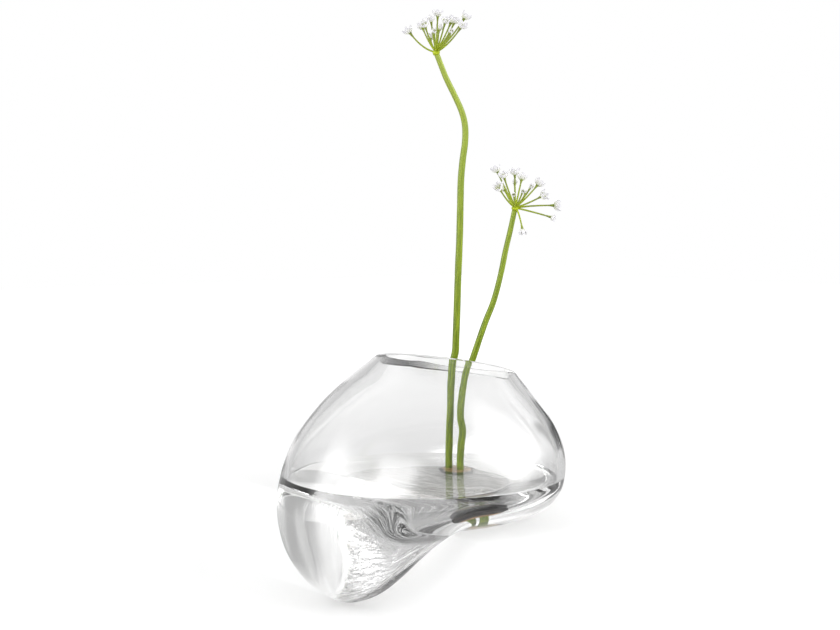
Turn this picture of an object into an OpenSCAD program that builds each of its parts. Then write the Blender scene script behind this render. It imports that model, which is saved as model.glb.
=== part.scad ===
// A clear glass vase that sagged over the edge of a shelf while it was soft.
// Its right and rear part sits on the shelf and its lobe hangs over the edge.
// It holds water, a holder for the stems, and two flowers that lift out.
// Z is up, the shelf's top is at zero, and the front is towards -Y.

/* [Bowl] */
// Radius of the bowl at its widest ring
belly_r = 93; // [86:0.5:98]
// Height of the widest ring above the seat
belly_z = 24.5; // [22:0.5:29]
// Radius at which the underside starts to turn up
seat_r = 56.5; // [52:0.5:61]
// Thickness of the blown wall
wall = 5; // [4:0.25:6]
// Thickness of the glass over the seat
floor_t = 7; // [6:0.25:8]

/* [Mouth] */
// Outer radius of the ground mouth
mouth_r = 47; // [45:0.5:51]
// Height of the middle of the mouth
mouth_z = 96; // [90:0.5:105]
// How far the neck leans away from the lobe
neck_lean = 30; // [24:0.5:32]
// Tilt of the mouth's ground face, in degrees
mouth_tilt = 13.5; // [8:0.5:15]
// Slope of the shoulder where it meets the mouth, in degrees
shoulder_slope = 50; // [45:0.5:54]
// Direction of the lean, in degrees from +X
lean_dir = 58; // [50:1:62]

/* [Lobe] */
// Direction in which the lobe hangs, in degrees from +X
lobe_dir = 220; // [215:1:225]
// How far the lobe hangs below the seat
lobe_drop = 52.5; // [40:0.5:60]
// Distance from the axis to the middle of the fold over the shelf's edge
fold_out = 37.5; // [36:0.5:44]
// Half of the fold's width
fold_reach = 17; // [15:0.5:19]
// How far the lobe's side is pushed out
lobe_bulge = 7; // [4:0.5:10]

/* [Filling] */
// Height of the water's surface above the seat
water_z = 26; // [23:0.5:34]
// Width of the stem holder
holder_w = 25; // [23:0.5:28]
// Length of the stem holder, front to back
holder_l = 36; // [34:0.5:40]
// Height of the stem holder
holder_h = 8; // [6:0.5:10]
// Place of the stem holder, to the right of the axis
holder_x = 24; // [20:0.5:27]
// Place of the stem holder, behind the axis
holder_y = 34.5; // [30:0.5:38]
// How far the stems stand to the left of the holder's middle
stem_off_x = 1.4; // [0:0.1:2.5]
// Distance between the two stems, side to side
stem_gap_x = 7.7; // [7:0.1:9.5]
// Distance between the two stems, front to back
stem_gap_y = 7; // [6.5:0.1:9]
// Clearance round a stem in the holder and in the water
stem_clear = 0.3; // [0.2:0.05:0.5]

/* [Tall flower] */
// Height of the tall stem
tall_h = 294; // [260:1:320]
// Thickness of the tall stem at its foot
tall_d = 5.2; // [4.4:0.1:5.6]
// Sideways swing of the tall stem's bends
tall_sway = 10.5; // [6:0.5:12]

/* [Short flower] */
// Height of the short stem
short_h = 190; // [175:1:210]
// Thickness of the short stem at its foot
short_d = 4.9; // [4.2:0.1:5.2]
// How far the short stem leans to the right
short_lean = 35.5; // [32:0.5:38]

/* [Flower heads] */
// Length of the longest flower stalks
ray_len = 26; // [22:0.5:28]
// Thickness of a flower stalk
ray_d = 1.1; // [0.9:0.05:1.4]
// Width of an open flower
floret_w = 9; // [7:0.25:10]
// Height of an open flower
floret_h = 4.2; // [3.5:0.1:5]
// Thickness of a petal
petal_t = 0.5; // [0.4:0.05:0.8]

/* [Hidden] */

// Handles of the profile curves, as shares of the sizes that they follow
bowl_round_share = 0.8;
seat_round_share = 0.12;
neck_rise_share = 0.5;
shoulder_run_share = 0.32;
// Middle and half widths of the lobe along the shelf's edge, as shares of the belly
lobe_mid_share = -0.2;
lobe_right_share = 1.26;
lobe_left_share = 0.65;
// How much further out the fold lies on the inside, as a share of the wall
inner_fold_share = 0.6;

// Steps of the glass surface: round it, up the neck, down the bowl and across the seat
round_steps = 52;
neck_steps = 10;
bowl_steps = 9;
seat_steps = 9;
stem_sides = 10;
ray_sides = 6;

// Length by which one shape runs past another that it cuts
overrun = 2;
// Height of glass above the mouth that the grinding took off
grind = 0.5;
// Sides that a round hole or foot is drawn with
fine = 48;

lobe_out = [cos(lobe_dir), sin(lobe_dir)];
lobe_along = [-sin(lobe_dir), cos(lobe_dir)];
lean_out = [cos(lean_dir), sin(lean_dir)];
lean_along = [-sin(lean_dir), cos(lean_dir)];
neck_h = mouth_z - belly_z;

// Plain maths

function bend(a, b, c, d, t) =
    pow(1 - t, 3) * a + 3 * pow(1 - t, 2) * t * b + 3 * (1 - t) * t * t * c + pow(t, 3) * d;
function heading(a, b, c, d, t) =
    3 * pow(1 - t, 2) * (b - a) + 6 * (1 - t) * t * (c - b) + 3 * t * t * (d - c);
function unit(v) = v / norm(v);
function clip(t) = min(max(t, 0), 1);
function ease(t) = clip(t) * clip(t) * (3 - 2 * clip(t));
// A smooth curve through a list of points, with t from 0 to 1 along it
function through(pts, t) =
    let (n = len(pts) - 1,
         i = min(floor(t * n), n - 1),
         f = t * n - i,
         a = pts[max(i - 1, 0)],
         b = pts[i],
         c = pts[i + 1],
         d = pts[min(i + 2, n)])
    b + f * (c - a) / 2
      + f * f * (2 * a - 5 * b + 4 * c - d) / 2
      + f * f * f * (3 * b - a - 3 * c + d) / 2;
// Faces of a closed skin over rings of points, the first ring lowest
function skin(rings, sides) =
    concat(
        [[for (k = [0 : sides - 1]) k]],
        [for (i = [0 : rings - 2]) for (k = [0 : sides - 1])
            let (a = i * sides + k, b = i * sides + (k + 1) % sides)
            [a, a + sides, b]],
        [for (i = [0 : rings - 2]) for (k = [0 : sides - 1])
            let (a = i * sides + k, b = i * sides + (k + 1) % sides)
            [b, a + sides, b + sides]],
        [[for (k = [sides - 1 : -1 : 0]) (rings - 1) * sides + k]]);

// The blown form. A depth of 0 gives the outside of the glass and 1 the inside.

// Profile of the neck, from the widest ring up to the mouth
neck_a = [belly_r, belly_z];
neck_b = [belly_r, belly_z + neck_rise_share * neck_h];
shoulder_run = shoulder_run_share * mouth_r;
neck_c = [mouth_r + shoulder_run * cos(shoulder_slope), mouth_z - shoulder_run * sin(shoulder_slope)];
neck_d = [mouth_r, mouth_z];
function neck_point(t, depth) =
    let (p = bend(neck_a, neck_b, neck_c, neck_d, t),
         h = unit(heading(neck_a, neck_b, neck_c, neck_d, t)))
    p - depth * wall * [h[1], -h[0]];
// Past the mouth the profile runs straight on, to be ground off
function past_mouth(reach, depth) =
    neck_point(1, depth) + reach * [-cos(shoulder_slope), sin(shoulder_slope)];

// Profile of the bowl, from the widest ring down to the seat
bowl_b = [belly_r, belly_z * (1 - bowl_round_share)];
bowl_c = [seat_r + seat_round_share * (belly_r - seat_r), 0];
bowl_d = [seat_r, 0];
function bowl_point(t, depth) =
    let (p = bend(neck_a, bowl_b, bowl_c, bowl_d, t),
         h = unit(heading(neck_a, bowl_b, bowl_c, bowl_d, t)),
         thick = wall + (floor_t - wall) * t * t)
    p - depth * thick * [-h[1], h[0]];

// How far the soft glass sagged at a place in plan, as a share of the lobe's drop
function sag_at(u, v, depth) =
    let (fold = fold_out + depth * inner_fold_share * wall,
         over = ease((u - fold + fold_reach) / (2 * fold_reach)),
         side = v - lobe_mid_share * belly_r,
         width = (side > 0 ? lobe_right_share : lobe_left_share) * belly_r,
         near = clip(1 - side * side / (width * width)))
    over * near * near;

// A point of the neck: its ring slides and tilts more and more towards the mouth
function neck_place(p, a) =
    let (s = clip((p[1] - belly_z) / neck_h),
         x = p[0] * cos(a - lean_dir),
         y = p[0] * sin(a - lean_dir),
         out = neck_lean * s + x * cos(mouth_tilt * s),
         xy = out * lean_out + y * lean_along)
    [xy[0], xy[1], p[1] - x * sin(mouth_tilt * s)];

// A point of the bowl: it hangs lower and bulges where the glass sagged. The neck's
// lean runs on below the widest ring and dies out towards the seat.
function bowl_place(p, a, depth) =
    let (xy = p[0] * [cos(a), sin(a)],
         deep = belly_z - depth * floor_t,
         sag = sag_at(xy * lobe_out, xy * lobe_along, depth),
         down = clip((belly_z - p[1]) / deep),
         push = lobe_bulge * sag * sin(180 * down),
         lean = -neck_lean * deep / neck_h * down * pow(1 - down, 2),
         moved = xy + push * lobe_out + lean * lean_out)
    [moved[0], moved[1], p[1] - lobe_drop * sag * down];

// The closed skin of the form, from the middle of the seat up past the mouth
module blown_form(depth, reach) {
    turns = [for (k = [0 : round_steps - 1]) 360 * k / round_steps];
    last = bowl_point(1, depth);
    seats = [for (i = [1 : seat_steps]) [last[0] * i / seat_steps, last[1]]];
    bowls = [for (i = [bowl_steps - 1 : -1 : 0]) bowl_point(i / bowl_steps, depth)];
    necks = [for (i = [1 : neck_steps]) neck_point(i / neck_steps, depth)];
    points = concat(
        [for (p = concat(seats, bowls)) for (a = turns) bowl_place(p, a, depth)],
        [for (p = concat(necks, [past_mouth(reach, depth)])) for (a = turns) neck_place(p, a)]);
    polyhedron(points, skin(seat_steps + bowl_steps + neck_steps + 1, round_steps));
}

// Everything above the mouth's ground face
module above_mouth() {
    size = 3 * belly_r;
    translate([neck_lean * lean_out[0], neck_lean * lean_out[1], mouth_z - grind])
        rotate([0, 0, lean_dir])
            rotate([0, mouth_tilt, 0])
                translate([-size / 2, -size / 2, 0])
                    cube(size);
}

module glass_body() {
    color([0.88, 0.92, 0.92, 0.45])
        difference() {
            blown_form(0, overrun);
            blown_form(1, 3 * overrun);
            above_mouth();
        }
}

// The stems' feet and the holder that they stand in

holder_waves = 7;
holder_wave_share = 0.05;
holder_sides = 28;
// Rings of the holder: height and width, each as a share
holder_ring_shares = [[0, 0.97], [0.3, 1], [0.62, 0.9], [0.86, 0.68], [1, 0.34]];
bore_floor = 1.5;
foot_gap = 0.3;
foot_z = floor_t + bore_floor + foot_gap;
tall_foot = [holder_x - stem_off_x - stem_gap_x / 2, holder_y + stem_gap_y / 2];
short_foot = [holder_x - stem_off_x + stem_gap_x / 2, holder_y - stem_gap_y / 2];
// Each stem stands straight up to a little above the water
straight_over = 6;
straight_z = water_z + straight_over;

function holder_point(share, a, z) =
    let (w = share * (1 + holder_wave_share * sin(holder_waves * a)))
    [holder_x + w * holder_w / 2 * cos(a), holder_y + w * holder_l / 2 * sin(a), z];

// The holder's lump, which can start below the glass for a clean cut
module holder_form(below) {
    turns = [for (k = [0 : holder_sides - 1]) 360 * k / holder_sides];
    rings = len(holder_ring_shares);
    points = concat(
        [for (r = holder_ring_shares) for (a = turns)
            holder_point(r[1], a, floor_t + holder_h * r[0] - (r[0] == 0 ? below : 0))]);
    polyhedron(points, skin(rings, holder_sides));
}

// A straight hole for a stem, from a height up through the water
module stem_hole(foot, d, from_z) {
    translate([foot[0], foot[1], from_z])
        cylinder(h = straight_z - from_z, d = d + 2 * stem_clear, $fn = fine);
}

module stem_holder() {
    color("peru")
        difference() {
            holder_form(0);
            stem_hole(tall_foot, tall_d, floor_t + bore_floor);
            stem_hole(short_foot, short_d, floor_t + bore_floor);
        }
}

// The water fills the inside of the glass up to its level
module water() {
    size = 3 * belly_r;
    color([0.72, 0.85, 0.88, 0.4])
        difference() {
            intersection() {
                blown_form(1, overrun);
                translate([-size / 2, -size / 2, water_z - size])
                    cube(size);
            }
            holder_form(overrun);
            stem_hole(tall_foot, tall_d, floor_t + holder_h / 2);
            stem_hole(short_foot, short_d, floor_t + holder_h / 2);
        }
}

// The flowers

// A tube along a list of points, with its radius at each and one side direction
module tube(path, radii, side_dir, sides) {
    n = len(path);
    points = [for (i = [0 : n - 1])
        let (t = unit(path[min(i + 1, n - 1)] - path[max(i - 1, 0)]),
             u = unit(cross(side_dir, t)),
             v = cross(t, u))
        for (k = [0 : sides - 1])
            path[i] + radii[i] * (cos(360 * k / sides) * u + sin(360 * k / sides) * v)];
    polyhedron(points, skin(n, sides));
}

// Shares of a stem's course: height, swing to the right and swing to the rear
tall_course_shares = [
    [0, 0, 0], [0.06, 0.04, 0.01], [0.12, 0.09, 0.02], [0.18, 0.12, 0.03], [0.225, 0.17, 0.04],
    [0.262, 0.38, 0.035], [0.3, 0.425, 0.03], [0.36, 0.48, 0.01], [0.45, 0.545, -0.045],
    [0.54, 0.635, -0.085], [0.62, 0.68, -0.105], [0.69, 0.72, -0.105], [0.74, 0.83, -0.075],
    [0.785, 0.98, -0.03], [0.825, 0.98, 0], [0.86, 0.77, 0.018], [0.9, 0.31, 0.02],
    [0.94, -0.2, 0.015], [0.97, -0.52, 0], [1, -0.82, -0.015]];
short_course_shares = [
    [0, 0, 0], [0.055, 0.012, 0.005], [0.11, 0.04, 0.01], [0.165, 0.002, 0.013], [0.22, 0.012, 0.02],
    [0.28, 0.042, 0.026], [0.335, 0.095, 0.03], [0.39, 0.205, 0.03], [0.44, 0.285, 0.026],
    [0.5, 0.378, 0.018], [0.56, 0.478, 0.007], [0.62, 0.59, -0.008], [0.68, 0.674, -0.025],
    [0.76, 0.762, -0.04], [0.84, 0.835, -0.052], [0.92, 0.921, -0.059], [1, 1, -0.059]];
// How thin a stem becomes at its top, as a share of its foot
stem_top_share = 0.72;
stem_steps = 26;
// The bent part starts inside the straight foot, a little thinner than it
stem_tuck_share = 0.97;

function stem_path(foot, height, swing, shares) =
    let (rise = foot_z + height - straight_z)
    concat([[foot[0], foot[1], straight_z - overrun]],
        [for (i = [0 : stem_steps])
            let (c = through(shares, i / stem_steps))
            [foot[0] + swing * c[1], foot[1] + swing * c[2], straight_z + rise * c[0]]]);
function stem_radii(d) =
    concat([d / 2 * stem_tuck_share],
        [for (i = [0 : stem_steps])
            d / 2 * stem_tuck_share * (1 - (1 - stem_top_share) * pow(i / stem_steps, 1.5))]);

tall_path = stem_path(tall_foot, tall_h, tall_sway, tall_course_shares);
short_path = stem_path(short_foot, short_h, short_lean, short_course_shares);

module stem(foot, d, path) {
    color("yellowgreen")
        union() {
            translate([foot[0], foot[1], foot_z])
                cylinder(h = straight_z - foot_z, d = d, $fn = fine);
            tube(path, stem_radii(d), [0, 1, 0], stem_sides);
        }
}

// Turns a shape from +Z to a direction, at a place
module aimed(place, dir) {
    translate(place)
        rotate([0, acos(dir[2] / norm(dir)), atan2(dir[1], dir[0])])
            children();
}

// The head's hub on top of the stem, where all the flower stalks start
hub_wide_share = 1.35;
hub_tall_share = 1.5;
// Half outline of the hub: radius and height, as shares
hub_outline_shares = [[0, 0], [0.74, 0], [0.95, 0.18], [1, 0.42], [0.86, 0.72], [0.5, 0.95], [0, 1]];

function path_end(path) = path[len(path) - 1];
function end_dir(path) = unit(path_end(path) - path[len(path) - 2]);
function hub_r(d) = hub_wide_share * stem_top_share * d / 2;
function hub_h(d) = hub_tall_share * hub_r(d);

module hub(path, d) {
    aimed(path_end(path), end_dir(path))
        rotate_extrude($fn = fine / 2)
            polygon([for (p = hub_outline_shares) [p[0] * hub_r(d), p[1] * hub_h(d)]]);
}

// Flower stalks of each head, as shares of the longest: right, rear, up, the bow
// of the middle, and then the size of the flower
tall_ray_shares = [
    [-0.67, 0.1, 0.5, -0.2, 1], [-0.28, -0.5, 0.58, -0.12, 0.95], [-0.34, 0.42, 0.66, -0.12, 0.9],
    [-0.13, -0.3, 0.74, -0.08, 0.9], [-0.14, 0.66, 0.42, -0.12, 0.8], [0.04, -0.1, 0.9, 0, 1],
    [-0.05, -0.62, 0.42, -0.12, 0.6], [0.08, 0.48, 0.62, -0.1, 0.8], [0.22, -0.45, 0.68, -0.08, 0.85],
    [0.38, 0.3, 0.78, -0.08, 1], [0.46, -0.16, 0.72, -0.12, 0.95], [0.36, 0.6, 0.5, -0.12, 0.7],
    [0.72, 0.06, 0.86, -0.14, 1], [0.62, -0.46, 0.56, -0.16, 0.95], [0.36, -0.62, 0.42, -0.12, 0.6]];
short_ray_shares = [
    [-0.45, 0.1, 0.92, -0.06, 1], [-0.3, -0.28, 0.76, -0.06, 0.9], [-0.42, -0.5, 0.46, -0.1, 1],
    [-0.24, 0.5, 0.46, -0.08, 0.8], [-0.02, -0.12, 0.84, 0, 1], [0.02, 0.5, 0.62, -0.06, 0.6],
    [0.18, 0.3, 0.72, -0.02, 0.95], [0.35, -0.48, 0.5, -0.06, 0.6], [0.14, -0.6, 0.38, -0.06, 0.5],
    [-0.08, -0.66, 0.3, -0.04, 0.5], [0.58, 0.16, 0.58, -0.06, 1], [0.64, -0.28, 0.28, -0.04, 1],
    [1, 0.1, 0.06, 0.04, 1], [0.9, -0.16, -0.24, 0.02, 0.7], [0.17, -0.2, -0.54, 0.22, 0.85],
    [0.3, 0.62, 0.36, -0.06, 0.6]];
ray_steps = 4;
knob_share = 1.9;

function ray_point(start, shares, t) =
    let (tip = ray_len * [shares[0], shares[1], shares[2]],
         mid = tip / 2 + [0, 0, ray_len * shares[3]])
    start + 2 * (1 - t) * t * mid + t * t * tip;
function ray_path(start, shares) =
    [for (i = [0 : ray_steps]) ray_point(start, shares, i / ray_steps)];
// A stalk swells into a small knob under its flower
function ray_radii(size) =
    [for (i = [0 : ray_steps]) ray_d / 2 * (i == ray_steps ? 1 + (knob_share - 1) * size : 1)];
// The stalks start in the middle of the hub
function head_start(path, d) = path_end(path) + hub_h(d) / 2 * end_dir(path);

module rays(path, d, table) {
    start = head_start(path, d);
    color("olivedrab")
        union() {
            hub(path, d);
            for (s = table)
                tube(ray_path(start, s), ray_radii(s[4]), [-s[1], s[0], 0], ray_sides);
        }
}

// Outline of a flower with six petals: radius and height of tips and notches, as shares
notch_r_share = 0.52;
notch_z_share = 0.6;
throat_share = 0.3;

module floret(size, base_r) {
    r = size * floret_w / 2;
    h = size * floret_h;
    rim = [for (k = [0 : 11])
        let (tip = k % 2 == 0, a = 30 * k, q = tip ? r : notch_r_share * r)
        [q * cos(a), q * sin(a), tip ? h : notch_z_share * h]];
    points = concat(
        [for (k = [0 : 5]) [base_r * cos(60 * k), base_r * sin(60 * k), 0]],
        rim,
        [for (p = rim) p + [0, 0, petal_t]],
        [[0, 0, throat_share * h + petal_t]]);
    faces = concat(
        [[for (k = [0 : 5]) k]],
        [for (k = [0 : 5]) [k, 6 + 2 * k, 7 + 2 * k]],
        [for (k = [0 : 5]) [k, 7 + 2 * k, (k + 1) % 6]],
        [for (k = [0 : 5]) [(k + 1) % 6, 7 + 2 * k, 6 + (2 * k + 2) % 12]],
        [for (k = [0 : 11]) [6 + k, 18 + k, 6 + (k + 1) % 12]],
        [for (k = [0 : 11]) [6 + (k + 1) % 12, 18 + k, 18 + (k + 1) % 12]],
        [for (k = [0 : 11]) [30, 18 + (k + 1) % 12, 18 + k]]);
    polyhedron(points, faces);
}

module florets(path, d, table) {
    start = head_start(path, d);
    color("white")
        for (s = table)
            let (p = ray_path(start, s), r = ray_radii(s[4])[ray_steps])
            aimed(path_end(p), end_dir(p))
                floret(s[4], r);
}

module tall_stem() { stem(tall_foot, tall_d, tall_path); }
module tall_rays() { rays(tall_path, tall_d, tall_ray_shares); }
module tall_florets() { florets(tall_path, tall_d, tall_ray_shares); }
module short_stem() { stem(short_foot, short_d, short_path); }
module short_rays() { rays(short_path, short_d, short_ray_shares); }
module short_florets() { florets(short_path, short_d, short_ray_shares); }

glass_body();
water();
stem_holder();
tall_stem();
tall_rays();
tall_florets();
short_stem();
short_rays();
short_florets();
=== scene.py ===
import math

import bmesh
import bpy
from mathutils import Matrix, Vector, noise


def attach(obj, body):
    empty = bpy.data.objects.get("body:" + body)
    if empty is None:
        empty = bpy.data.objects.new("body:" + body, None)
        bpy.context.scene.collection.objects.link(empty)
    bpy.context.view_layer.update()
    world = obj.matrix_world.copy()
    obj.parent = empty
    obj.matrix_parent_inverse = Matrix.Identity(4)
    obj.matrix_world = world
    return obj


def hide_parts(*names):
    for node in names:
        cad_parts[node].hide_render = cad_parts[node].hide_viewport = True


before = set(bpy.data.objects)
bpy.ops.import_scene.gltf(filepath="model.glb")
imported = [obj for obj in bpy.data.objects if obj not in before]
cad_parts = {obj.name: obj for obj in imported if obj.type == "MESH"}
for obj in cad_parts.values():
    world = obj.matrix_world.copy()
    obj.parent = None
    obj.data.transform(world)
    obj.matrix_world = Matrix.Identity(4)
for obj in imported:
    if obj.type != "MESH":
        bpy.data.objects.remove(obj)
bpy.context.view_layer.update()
scene = bpy.context.scene
mm = 0.001


# Camera
# It stands about 0.93 m in front of the vase, a little above the mouth, and looks down by
# a few degrees. Its lens gives the photograph's frame of 840 by 630.
sensor_w = 36
frame_w_px = 840
focal_px = 1429
look_down = math.radians(3.84)
camera_data = bpy.data.cameras.new("camera")
camera_data.sensor_width = sensor_w
camera_data.lens = sensor_w * focal_px / frame_w_px
camera = bpy.data.objects.new("camera", camera_data)
camera.location = (-1.3 * mm, -929 * mm, 193 * mm)
camera.rotation_euler = (math.pi / 2 - look_down, 0, 0)
scene.collection.objects.link(camera)
scene.camera = camera


# Glass body
# One gather of clear soda-lime glass, blown round and then let sag over the edge of a
# rough wooden board while it was soft. The board left its grain in the underside. The
# mouth was cut on a slant, ground flat and polished, with a fine bevel on both rims.
belly_r = 93 * mm
belly_z = 24.5 * mm
seat_r = 56.5 * mm
wall = 5 * mm
floor_t = 7 * mm
mouth_r = 47 * mm
mouth_z = 96 * mm
neck_lean = 30 * mm
mouth_tilt = math.radians(13.5)
shoulder_slope = math.radians(50)
lean_dir = math.radians(58)
lobe_dir = math.radians(220)
lobe_drop = 52.5 * mm
fold_out = 37.5 * mm
fold_reach = 17 * mm
lobe_bulge = 7 * mm
grind = 0.5 * mm
rim_bevel = 0.4 * mm
bowl_round_share = 0.8
seat_round_share = 0.12
neck_rise_share = 0.5
shoulder_run_share = 0.32
lobe_mid_share = -0.2
lobe_right_share = 1.26
lobe_left_share = 0.65
inner_fold_share = 0.6
edge_start_share = 0.2
edge_round_share = 0.07
outer_past = 2 * mm
inner_past = 6 * mm
flat_cos = 0.9999
turns = 192
neck_steps = 56
bowl_steps = 52
seat_steps = 44
merge_dist = 0.001 * mm

neck_h = mouth_z - belly_z
shoulder_run = shoulder_run_share * mouth_r * Vector((math.cos(shoulder_slope), -math.sin(shoulder_slope)))
lobe_out = Vector((math.cos(lobe_dir), math.sin(lobe_dir)))
lobe_along = Vector((-lobe_out.y, lobe_out.x))
lean_out = Vector((math.cos(lean_dir), math.sin(lean_dir)))
lean_along = Vector((-lean_out.y, lean_out.x))
belly = Vector((belly_r, belly_z))
neck_curve = (
    belly,
    Vector((belly_r, belly_z + neck_rise_share * neck_h)),
    Vector((mouth_r, mouth_z)) + shoulder_run,
    Vector((mouth_r, mouth_z)),
)
bowl_curve = (
    belly,
    Vector((belly_r, belly_z * (1 - bowl_round_share))),
    Vector((seat_r + seat_round_share * (belly_r - seat_r), 0)),
    Vector((seat_r, 0)),
)


def bend(curve, t):
    """A point of a cubic curve and the unit vector along it."""
    a, b, c, d = curve
    place = (1 - t) ** 3 * a + 3 * (1 - t) ** 2 * t * b + 3 * (1 - t) * t * t * c + t**3 * d
    along = (1 - t) ** 2 * (b - a) + 2 * (1 - t) * t * (c - b) + t * t * (d - c)
    return place, along.normalized()


def clip(t):
    return min(max(t, 0), 1)


def ease(t):
    t = clip(t)
    return t * t * (3 - 2 * t)


def glass_profile(depth, reach):
    """Half outline of the blown form from the seat's middle up past the mouth."""
    bowl, neck = [], []
    for i in range(bowl_steps + 1):
        t = i / bowl_steps
        place, along = bend(bowl_curve, t)
        thick = wall + (floor_t - wall) * t * t
        bowl.append(place - depth * thick * Vector((-along.y, along.x)))
    for i in range(1, neck_steps + 1):
        place, along = bend(neck_curve, i / neck_steps)
        neck.append(place - depth * wall * Vector((along.y, -along.x)))
    past = neck[-1] + reach * Vector((-math.cos(shoulder_slope), math.sin(shoulder_slope)))
    seat = [Vector((bowl[-1].x * i / seat_steps, bowl[-1].y)) for i in range(seat_steps)]
    return seat + bowl[::-1] + neck + [past]


def edge_drop(t):
    """Share of the drop past the board's edge. The outer skin turns down crisply over it."""
    past = (t - edge_start_share) / (1 - edge_start_share)
    return math.sin(math.pi / 2 * min((past + math.hypot(past, edge_round_share)) / 2, 1))


def sag_at(u, v, depth):
    """How far the soft glass sagged at a place in plan, as a share of the lobe's drop."""
    fold = fold_out + depth * inner_fold_share * wall
    reached = (u - fold + fold_reach) / (2 * fold_reach)
    over = ease(reached) if depth else edge_drop(reached)
    side = v - lobe_mid_share * belly_r
    width = (lobe_right_share if side > 0 else lobe_left_share) * belly_r
    return over * clip(1 - side * side / (width * width)) ** 2


def slumped(p, depth):
    """Where a point of the upright spun form lies after the neck leaned and the lobe sagged."""
    flat = Vector((p.x, p.y))
    if p.z > belly_z:
        share = clip((p.z - belly_z) / neck_h)
        x = flat.dot(lean_out)
        out = neck_lean * share + x * math.cos(mouth_tilt * share)
        flat = out * lean_out + flat.dot(lean_along) * lean_along
        return Vector((flat.x, flat.y, p.z - x * math.sin(mouth_tilt * share)))
    deep = belly_z - depth * floor_t
    sag = sag_at(flat.dot(lobe_out), flat.dot(lobe_along), depth)
    down = clip((belly_z - p.z) / deep)
    flat = flat + lobe_bulge * sag * math.sin(math.pi * down) * lobe_out
    flat = flat - neck_lean * deep / neck_h * down * (1 - down) ** 2 * lean_out
    return Vector((flat.x, flat.y, p.z - lobe_drop * sag * down))


def spin_round(form, outline, steps, gap):
    """Spins an outline of radii and heights into a closed skin and gives the skin's vertices."""
    before = set(form.verts)
    line = [form.verts.new((r, 0, z)) for r, z in outline]
    edges = [form.edges.new(pair) for pair in zip(line, line[1:])]
    bmesh.ops.spin(
        form, geom=line + edges, cent=(0, 0, 0), axis=(0, 0, 1), angle=math.tau, steps=steps, use_merge=True
    )
    bmesh.ops.remove_doubles(form, verts=[v for v in form.verts if v not in before], dist=gap)
    return [v for v in form.verts if v not in before]


# The grain of the board: its lines run along the board's edge and turn round one knot,
# with gouges between them
knot = Vector((34 * mm, -30 * mm))
knot_reach = 19 * mm
ring_gap = 5.2 * mm
grain_sway = 5 * mm
sway_len = 45 * mm
sway_crowd = 1.6
gouge_w = 7 * mm
gouge_len = 26 * mm
ridge_share = 0.35
gouge_share = 1.04
relief_h = 0.75 * mm
print_fade = 5 * mm
print_end = 50 * mm
print_turn = 25 * mm
print_side = -30 * mm


def grain_at(x, y):
    """Distance across the board's grain at a place in plan, and the distance along it."""
    flat = Vector((x, y))
    u, v = flat.dot(lobe_out), flat.dot(lobe_along)
    near = math.exp(-((flat - knot).length / knot_reach) ** 2)
    sway = grain_sway * noise.noise(Vector((u / sway_len * sway_crowd, v / sway_len, 0.3)))
    return (u + sway) * (1 - near) + (flat - knot).length * near, v


def print_share(p):
    """1 where the board touched the glass, falling to 0 round it. The place is before the slump."""
    flat = Vector((p.x, p.y))
    inside = ease((seat_r + print_fade - flat.length) / (2 * print_fade))
    u, v = flat.dot(lobe_out), flat.dot(lobe_along)
    over_edge = ease((u - print_turn) / print_fade)
    held = ease((v - print_side) / print_fade)
    ended = ease((u - print_end + 2 * print_fade) / (3 * print_fade))
    return inside * (1 - over_edge * (1 - held)) * (1 - ended)


def board_relief(across, along):
    """Depth of the print from 0 to 1: ridges of the year rings, with gouges between them."""
    ridge = 0.5 + 0.5 * math.sin(math.tau * across / ring_gap)
    gouge = 0.5 + 0.5 * noise.noise(Vector((across / gouge_w, along / gouge_len, 4.2)))
    return clip(ridge_share * ridge + gouge_share * gouge * gouge)


def make_piece(form, name):
    """Turns a finished form into an object of the scene."""
    mesh = bpy.data.meshes.new(name)
    form.to_mesh(mesh)
    form.free()
    piece = bpy.data.objects.new(name, mesh)
    scene.collection.objects.link(piece)
    return piece


glass = bmesh.new()
print_layer = glass.verts.layers.float.new("print")
grain_layer = glass.verts.layers.float_vector.new("grain")
for v in spin_round(glass, glass_profile(0, outer_past), turns, merge_dist):
    mask = print_share(v.co) if v.co.z < merge_dist else 0
    across, along = grain_at(v.co.x, v.co.y)
    v[print_layer] = mask
    v[grain_layer] = (across, along, 0)
    v.co = slumped(v.co, 0)
    v.co.z += relief_h * mask * board_relief(across, along)
inner_skin = spin_round(glass, glass_profile(1, inner_past), turns, merge_dist)
for v in inner_skin:
    v.co = slumped(v.co, 1)
inner_faces = list({f for v in inner_skin for f in v.link_faces})
bmesh.ops.reverse_faces(glass, faces=inner_faces)
for f in inner_faces:
    f.material_index = 1
mouth_place = (neck_lean * lean_out).to_3d() + Vector((0, 0, mouth_z - grind))
mouth_up = (math.sin(mouth_tilt) * lean_out).to_3d() + Vector((0, 0, math.cos(mouth_tilt)))
bmesh.ops.bisect_plane(
    glass, geom=glass.verts[:] + glass.edges[:] + glass.faces[:], dist=merge_dist,
    plane_co=mouth_place, plane_no=mouth_up, clear_outer=True,
)
rims = [e for e in glass.edges if e.is_boundary]
ground = set(bmesh.ops.bridge_loops(glass, edges=rims)["faces"])
bmesh.ops.recalc_face_normals(glass, faces=glass.faces)
for f in glass.faces:
    f.smooth = True
rims = [e for e in glass.edges if sum(f in ground for f in e.link_faces) == 1]
bmesh.ops.bevel(
    glass, geom=rims, offset=rim_bevel, offset_type="OFFSET", segments=3, profile=0.5, affect="EDGES",
    material=-1,
)
for f in glass.faces:
    off_plane = abs((f.calc_center_median() - mouth_place).dot(mouth_up))
    if off_plane < rim_bevel:
        f.material_index = 2
    if abs(f.normal.dot(mouth_up)) > flat_cos and off_plane < merge_dist:
        f.smooth = False
vase = make_piece(glass, "glass_body_blown")


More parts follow.
